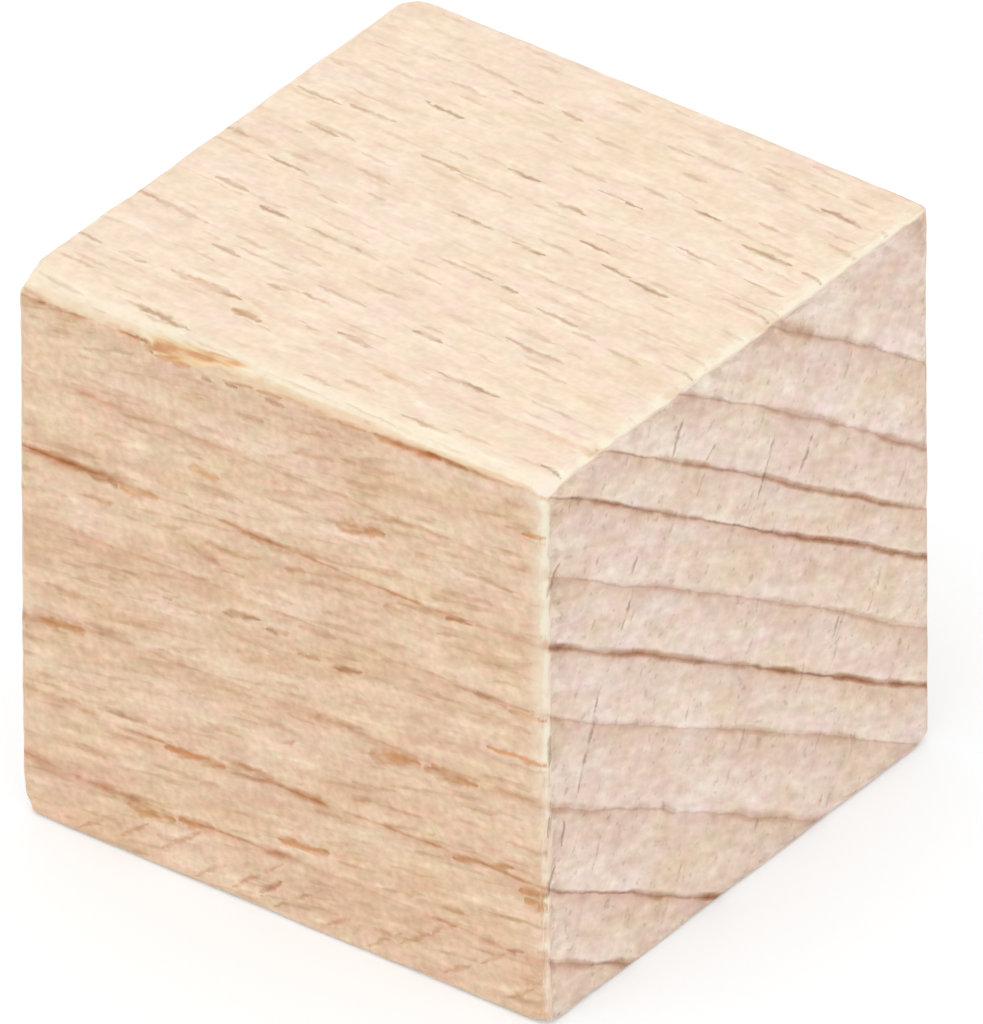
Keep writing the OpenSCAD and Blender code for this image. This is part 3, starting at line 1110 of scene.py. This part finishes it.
# Along the old sharp edge the band is cream, partly wear and partly a painted highlight.
band_tone = wood.mix(wood.step(rise, 0.30, 0.62), low_band_tone, BAND_WEAR_AND_HIGHLIGHT_TONE)
tone = covered(tone, band_tone, band, plus(0.66, fine_noise))

torn_here = plus(wood.carried("torn"), times(plus(edge_noise, fine_noise), 0.5))
tear_tone = wood.mix(wood.step(along_block, -5.2, -2.6), TEAR_DEEP_TONE, TEAR_TONE)
# The tear's paler border is partly fresh wood and partly a painted highlight on its lifted rim.
tone = covered(tone, TEAR_RIM_AND_HIGHLIGHT_TONE, wood.step(torn_here, 0.05, 0.5), 0.8)
tone = covered(tone, tear_tone, wood.step(torn_here, 0.30, 0.9), wood.step(fibres, 0.66, 0.42))

knock = wood.step(plus(wood.carried("knocked"), times(edge_noise, 0.5)), 0.03, 0.4)
tone = covered(tone, KNOCKED_TONE, knock, above_base, 0.85)
print("nodes so far:", len(wood.tree.nodes))

# %% [markdown]
# # Strokes in colour
# The material asks each face for its stroke and works out two numbers: how far along the stroke
# a point lies, from -1 to 1, and how far beside it, in millimetres. The stroke is dark where the
# second is less than its thickness, which thins out towards both tips and swells and shrinks a
# little on the way. Most flecks have a pale edge on one side, where the ray stands proud and
# catches the light.

# %% Draw the strokes
STROKE_GREY = (0.50, 0.42, 0.35, 1.0)
STROKE_RUST = (0.84, 0.55, 0.33, 1.0)
STROKE_PALE = (1.05, 1.11, 1.16, 1.0)
EDGE_OFFSET = 2.2  # how many thicknesses the pale edge lies beside its fleck

half_length = wood.carried("stroke_reach", "Vector")
half_thickness, strength, warmth = wood.parts(wood.carried("stroke_tone", "Vector"))

from_middle = wood.vector("SUBTRACT", place, wood.carried("stroke_middle", "Vector"))
lift = wood.scaled(facing, dot(from_middle, facing))
in_side = wood.vector("SUBTRACT", from_middle, lift)
share_along = wood.calc("DIVIDE", dot(in_side, half_length), dot(half_length, half_length))
sideways = wood.vector("NORMALIZE", wood.vector("CROSS_PRODUCT", facing, half_length))
off_line = plus(dot(in_side, sideways), times(waver(place, 1.6, 3.0, 0.6), 0.34))
taper = wood.calc("SQRT", minus(1.0, times(share_along, share_along), clamp=True))
thickness = times(half_thickness, taper, plus(1.0, times(fine_noise, 1.8)))


def stroke_mask(offset, softness):
    """1 in the middle of the stroke moved sideways by offset thicknesses, 0 outside it."""
    distance = wood.calc("ABSOLUTE", minus(off_line, times(half_thickness, offset)))
    share = wood.calc("DIVIDE", distance, wood.calc("MAXIMUM", thickness, 0.001))
    return wood.step(share, 1.0 + softness, 1.0 - softness)


dark_strength = wood.calc("MAXIMUM", strength, 0.0)
pale_strength = times(strength, -1.0, clamp=True)
side_place = wood.vector("MULTIPLY", leaning, (1.0, 3.0, 3.0))
broken_place = wood.mix(faces_end, side_place, wood.scaled(place, 2.4))
broken = wood.step(wood.noise(broken_place, 1.0), 0.34, 0.56)
unbroken = patchy(broken, (0.20, 0.40, 0.40), (1.0, 1.0, 1.0))
dark_part = times(dark_strength, stroke_mask(0.0, 1.0), unbroken)
pale_edge = times(dark_strength, stroke_mask(EDGE_OFFSET, 0.9), 0.7)
pale_part = plus(times(pale_strength, stroke_mask(0.0, 0.9)), pale_edge, clamp=True)

tone = tinted(tone, STROKE_PALE, pale_part)
browner = plus(warmth, by_side(0.0, 0.18, 0.0), clamp=True)
tone = tinted(tone, wood.mix(browner, STROKE_GREY, STROKE_RUST), dark_part)
print("nodes so far:", len(wood.tree.nodes))

# %% [markdown]
# # Sheen and surface
# Bare beech is matt. Its roughness wavers a little with the fibre, and rubbed edges are slightly
# smoother. Bump adds what is too fine for the mesh: fibre lines, pores and the hollow of each
# stroke. Its distance is a few hundredths of a millimetre.

# %% Roughness, bump and the shader
BUMP_HEIGHT = 0.03 * MM
BUMP_STRENGTH = 0.8
BEECH_IOR = 1.45
BEECH_SPECULAR = 0.25

fibre_lines = long_noise(0.8, 5.0, 3.0, 0.6)
end_grain = wood.noise(radial, 6.0, 3.0, 0.6)
roughness = minus(wood.step(fibre_lines, 0.3, 0.7, 0.60, 0.72), times(arris, 0.08))

grain_inputs = {0: faces_end, 2: fibre_lines, 3: end_grain}  # the places of a number mix
grain = wood.add("ShaderNodeMix", grain_inputs, data_type="FLOAT")
hollow = plus(times(dark_part, 0.7), times(pores, 0.4))
bump_inputs = {
    "Strength": BUMP_STRENGTH,
    "Distance": BUMP_HEIGHT,
    "Height": minus(times(grain, 0.8), hollow),
}
shader_inputs = {
    "Base Color": tone,
    "Roughness": roughness,
    "IOR": BEECH_IOR,
    "Specular IOR Level": BEECH_SPECULAR,
    "Normal": wood.add("ShaderNodeBump", bump_inputs, "Normal"),
}
shader = wood.add("ShaderNodeBsdfPrincipled", shader_inputs, "BSDF")
wood.add("ShaderNodeOutputMaterial", {"Surface": shader}, None)
mesh.materials.append(beech)
print("nodes in the wood:", len(wood.tree.nodes))

# %% [markdown]
# # Floor and light
# The block stands on a plain pale floor. A white world lights it softly from all round, and one
# wide lamp, high up and a little in front, makes the top the brightest side. The camera sees the
# floor and the world as white, and the floor still takes the block's faint shadow.

# %% Floor
FLOOR_SIZE = 4.0
FLOOR_TONE = (0.86, 0.86, 0.86, 1.0)
FLOOR_ROUGHNESS = 0.9
FLOOR_LIFT = 0.25  # light that only the eye sees, so that the open floor is white
LIFT_TINT = (0.78, 0.91, 1.0, 1.0)  # a little cool, against the warm light that the wood throws

floor_mesh = bpy.data.meshes.new("floor")
half = FLOOR_SIZE / 2
floor_corners = [(-half, -half, 0), (half, -half, 0), (half, half, 0), (-half, half, 0)]
floor_mesh.from_pydata(floor_corners, [], [(0, 1, 2, 3)])
floor = bpy.data.objects.new("floor", floor_mesh)
bpy.context.collection.objects.link(floor)


def seen_directly(graph):
    """1 for rays that the eye sees, straight or in a reflection or through glass."""
    rays = graph.add("ShaderNodeLightPath", output=None).outputs
    seen = graph.calc("MAXIMUM", rays["Is Camera Ray"], rays["Is Glossy Ray"])
    return graph.calc("MAXIMUM", seen, rays["Is Transmission Ray"])


pale_floor = bpy.data.materials.new("pale_floor")
ground = Nodes(pale_floor)
floor_inputs = {
    "Base Color": FLOOR_TONE,
    "Roughness": FLOOR_ROUGHNESS,
    "Emission Color": LIFT_TINT,
    "Emission Strength": ground.calc("MULTIPLY", seen_directly(ground), FLOOR_LIFT),
}
floor_shader = ground.add("ShaderNodeBsdfPrincipled", floor_inputs, "BSDF")
ground.add("ShaderNodeOutputMaterial", {"Surface": floor_shader}, None)
floor_mesh.materials.append(pale_floor)
print("floor of", FLOOR_SIZE, "m")

# %% World and lamp
WORLD_LIGHT = 0.85
WHITE = (1.0, 1.0, 1.0, 1.0)
LAMP_TURN = 5  # degrees, as the camera's
LAMP_RISE = 72
LAMP_DISTANCE = 0.6
LAMP_SIZE = 0.5
LAMP_WATTS = 0.62

world = bpy.data.worlds.new("studio")
bpy.context.scene.world = world
sky = Nodes(world)
brighter = sky.calc("MULTIPLY", seen_directly(sky), 1 - WORLD_LIGHT)
sky_inputs = {"Color": WHITE, "Strength": sky.calc("ADD", WORLD_LIGHT, brighter)}
background = sky.add("ShaderNodeBackground", sky_inputs, "Background")
sky.add("ShaderNodeOutputWorld", {"Surface": background}, None)

lamp = bpy.data.objects.new("soft_lamp", bpy.data.lights.new("soft_lamp", "AREA"))
lamp.data.energy = LAMP_WATTS
lamp.data.shape = "DISK"
lamp.data.size = LAMP_SIZE
stand_facing(lamp, block_middle, direction(LAMP_TURN, LAMP_RISE), LAMP_DISTANCE)

bpy.context.scene.view_settings.view_transform = "Standard"
print("lamp at", [round(v, 2) for v in lamp.location])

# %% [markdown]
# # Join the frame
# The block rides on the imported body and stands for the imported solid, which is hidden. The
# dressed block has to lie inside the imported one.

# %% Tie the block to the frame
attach(block, "root")
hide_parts("wooden_cube")
